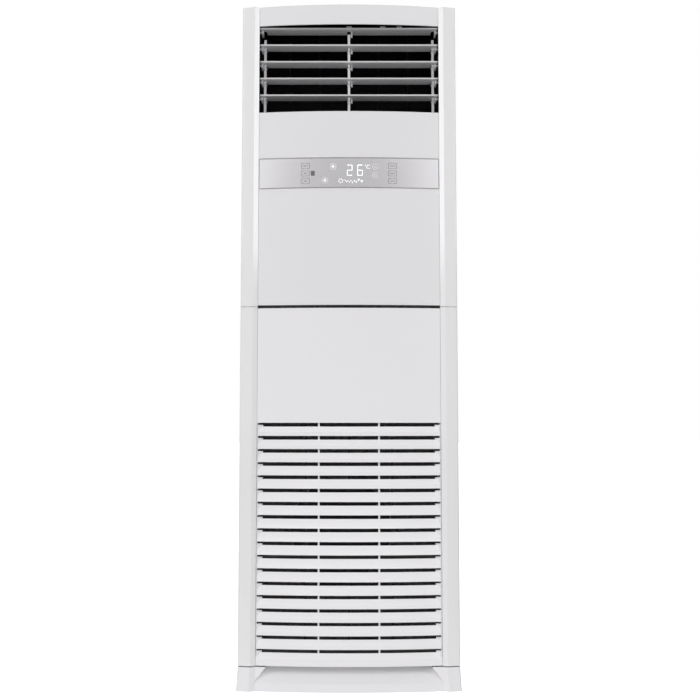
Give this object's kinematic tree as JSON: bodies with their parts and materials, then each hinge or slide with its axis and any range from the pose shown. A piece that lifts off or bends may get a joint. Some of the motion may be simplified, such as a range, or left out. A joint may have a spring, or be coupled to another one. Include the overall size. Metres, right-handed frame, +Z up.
{
  "type": "floor standing air conditioner",
  "caption": "Tall bowed white cabinet with a louvred outlet at the top, a silver display strip, a slatted tilting intake door and a blower inside.",
  "frame": {"origin": "on the floor, under the middle of the footprint", "axes": "+Z up, the bowed front faces -Y, +X to the viewer's right"},
  "size_m": [0.622, 0.456, 1.935],
  "materials": {
    "white_abs": "satin moulded",
    "silver_strip": "silver metallic paint",
    "louver_abs": "matt moulded",
    "black_abs": "matt moulded",
    "black_foam": "moulded foam bead",
    "painted_steel": "powder coat",
    "galvanised": "spangled zinc",
    "coil_fin": "thin fin stock",
    "copper_tube": "drawn copper tube",
    "motor_enamel": "enamel",
    "steel_bright": "turned or zinc plated",
    "board_green": "solder resist",
    "terminal_grey": "moulded",
    "guide_white": "moulded",
    "gland_rubber": "moulded",
    "pan_grey": "moulded",
    "wheel_plastic": "glass filled",
    "filter_frame_plastic": "moulded",
    "filter_net": "woven monofilament"
  },
  "bodies": {
    "cabinet": {"base_plinth": "white_abs", "base_tray": "galvanised", "side_panel_left": "painted_steel", "side_panel_right": "painted_steel", "rear_panel": "painted_steel", "rear_screws": "steel_bright", "cable_gland": "gland_rubber", "top_cover": "white_abs", "upper_trim_left": "white_abs", "upper_trim_right": "white_abs", "lower_trim_left": "white_abs", "lower_trim_right": "white_abs", "top_fascia": "white_abs", "upper_front_panel": "white_abs", "display_panel": "silver_strip", "display_board": "board_green", "light_guide": "guide_white", "outlet_frame": "black_abs", "swing_motor": "steel_bright", "air_duct": "black_foam", "partition_plate": "galvanised", "evaporator_fins": "coil_fin", "coil_end_plates": "galvanised", "evaporator_tubes": "copper_tube", "drain_pan": "pan_grey", "drain_pipe": "pan_grey", "gas_pipe": "copper_tube", "liquid_pipe": "copper_tube", "orifice_plate": "galvanised", "blower_scroll": "galvanised", "fan_motor": "motor_enamel", "motor_bracket": "galvanised", "front_crossbar": "galvanised", "control_box": "galvanised", "control_box_cover": "galvanised", "main_board": "board_green", "terminal_block": "terminal_grey", "filter_frame": "filter_frame_plastic", "filter_mesh": "filter_net"},
    "blower": {"blower_wheel": "wheel_plastic", "motor_shaft": "steel_bright"},
    "intake_door": {"lower_front_panel": "white_abs"},
    "louver_link": {"louver_links": "louver_abs"},
    "vane_link_bar": {"vane_link": "black_abs"},
    "louver_1_blade": {"louver_1": "louver_abs"},
    "vane_1_blade": {"vane_1": "black_abs"},
    "louver_2_blade": {"louver_2": "louver_abs"},
    "vane_2_blade": {"vane_2": "black_abs"},
    "louver_3_blade": {"louver_3": "louver_abs"},
    "vane_3_blade": {"vane_3": "black_abs"},
    "louver_4_blade": {"louver_4": "louver_abs"},
    "vane_4_blade": {"vane_4": "black_abs"},
    "louver_5_blade": {"louver_5": "louver_abs"},
    "vane_5_blade": {"vane_5": "black_abs"},
    "key_left_upper_cap": {"key_left_upper": "silver_strip"},
    "key_left_middle_cap": {"key_left_middle": "silver_strip"},
    "key_left_lower_cap": {"key_left_lower": "silver_strip"},
    "key_right_upper_cap": {"key_right_upper": "silver_strip"},
    "key_right_middle_cap": {"key_right_middle": "silver_strip"},
    "key_right_lower_cap": {"key_right_lower": "silver_strip"}
  },
  "joints": [
    {"name": "louver_1_tilt", "type": "hinge", "parent": "cabinet", "child": "louver_1_blade", "pos_m": [0, -0.186, 1.8653], "axis": [1, 0, 0], "range_deg": [-30, 30]},
    {"name": "louver_2_tilt", "type": "hinge", "parent": "cabinet", "child": "louver_2_blade", "pos_m": [0, -0.186, 1.8159], "axis": [1, 0, 0], "range_deg": [-30, 30]},
    {"name": "louver_3_tilt", "type": "hinge", "parent": "cabinet", "child": "louver_3_blade", "pos_m": [0, -0.186, 1.7665], "axis": [1, 0, 0], "range_deg": [-30, 30]},
    {"name": "louver_4_tilt", "type": "hinge", "parent": "cabinet", "child": "louver_4_blade", "pos_m": [0, -0.186, 1.7171], "axis": [1, 0, 0], "range_deg": [-30, 30]},
    {"name": "louver_5_tilt", "type": "hinge", "parent": "cabinet", "child": "louver_5_blade", "pos_m": [0, -0.186, 1.6677], "axis": [1, 0, 0], "range_deg": [-30, 30]},
    {"name": "louver_link_turn", "type": "hinge", "parent": "louver_3_blade", "child": "louver_link", "pos_m": [0, -0.166, 1.7635], "axis": [1, 0, 0], "range_deg": [-30, 30]},
    {"name": "vane_1_swing", "type": "hinge", "parent": "cabinet", "child": "vane_1_blade", "pos_m": [-0.174, -0.108, 1.75], "axis": [0, 0, 1], "range_deg": [-35, 35]},
    {"name": "vane_2_swing", "type": "hinge", "parent": "cabinet", "child": "vane_2_blade", "pos_m": [-0.087, -0.108, 1.75], "axis": [0, 0, 1], "range_deg": [-35, 35]},
    {"name": "vane_3_swing", "type": "hinge", "parent": "cabinet", "child": "vane_3_blade", "pos_m": [0, -0.108, 1.75], "axis": [0, 0, 1], "range_deg": [-35, 35]},
    {"name": "vane_4_swing", "type": "hinge", "parent": "cabinet", "child": "vane_4_blade", "pos_m": [0.087, -0.108, 1.75], "axis": [0, 0, 1], "range_deg": [-35, 35]},
    {"name": "vane_5_swing", "type": "hinge", "parent": "cabinet", "child": "vane_5_blade", "pos_m": [0.174, -0.108, 1.75], "axis": [0, 0, 1], "range_deg": [-35, 35]},
    {"name": "vane_link_turn", "type": "hinge", "parent": "vane_3_blade", "child": "vane_link_bar", "pos_m": [0, -0.086, 1.644], "axis": [0, 0, 1], "range_deg": [-35, 35]},
    {"name": "blower_spin", "type": "hinge", "parent": "cabinet", "child": "blower", "pos_m": [-0.022, 0, 0.43], "axis": [0, 1, 0], "continuous": true},
    {"name": "intake_door_tilt", "type": "hinge", "parent": "cabinet", "child": "intake_door", "pos_m": [0, -0.1995, 0.074], "axis": [1, 0, 0], "range_deg": [0, 16]},
    {"name": "key_left_upper_press", "type": "slide", "parent": "cabinet", "child": "key_left_upper_cap", "axis": [0, 1, 0], "range_m": [0, 0.0005], "stiffness_N_per_m": 600},
    {"name": "key_left_middle_press", "type": "slide", "parent": "cabinet", "child": "key_left_middle_cap", "axis": [0, 1, 0], "range_m": [0, 0.0005], "stiffness_N_per_m": 600},
    {"name": "key_left_lower_press", "type": "slide", "parent": "cabinet", "child": "key_left_lower_cap", "axis": [0, 1, 0], "range_m": [0, 0.0005], "stiffness_N_per_m": 600},
    {"name": "key_right_upper_press", "type": "slide", "parent": "cabinet", "child": "key_right_upper_cap", "axis": [0, 1, 0], "range_m": [0, 0.0005], "stiffness_N_per_m": 600},
    {"name": "key_right_middle_press", "type": "slide", "parent": "cabinet", "child": "key_right_middle_cap", "axis": [0, 1, 0], "range_m": [0, 0.0005], "stiffness_N_per_m": 600},
    {"name": "key_right_lower_press", "type": "slide", "parent": "cabinet", "child": "key_right_lower_cap", "axis": [0, 1, 0], "range_m": [0, 0.0005], "stiffness_N_per_m": 600}
  ],
  "couplings": [
    {"joint": "louver_1_tilt", "follows": "louver_3_tilt", "ratio": 1},
    {"joint": "louver_2_tilt", "follows": "louver_3_tilt", "ratio": 1},
    {"joint": "louver_4_tilt", "follows": "louver_3_tilt", "ratio": 1},
    {"joint": "louver_5_tilt", "follows": "louver_3_tilt", "ratio": 1},
    {"joint": "louver_link_turn", "follows": "louver_3_tilt", "ratio": -1},
    {"joint": "vane_1_swing", "follows": "vane_3_swing", "ratio": 1},
    {"joint": "vane_2_swing", "follows": "vane_3_swing", "ratio": 1},
    {"joint": "vane_4_swing", "follows": "vane_3_swing", "ratio": 1},
    {"joint": "vane_5_swing", "follows": "vane_3_swing", "ratio": 1},
    {"joint": "vane_link_turn", "follows": "vane_3_swing", "ratio": -1}
  ]
}
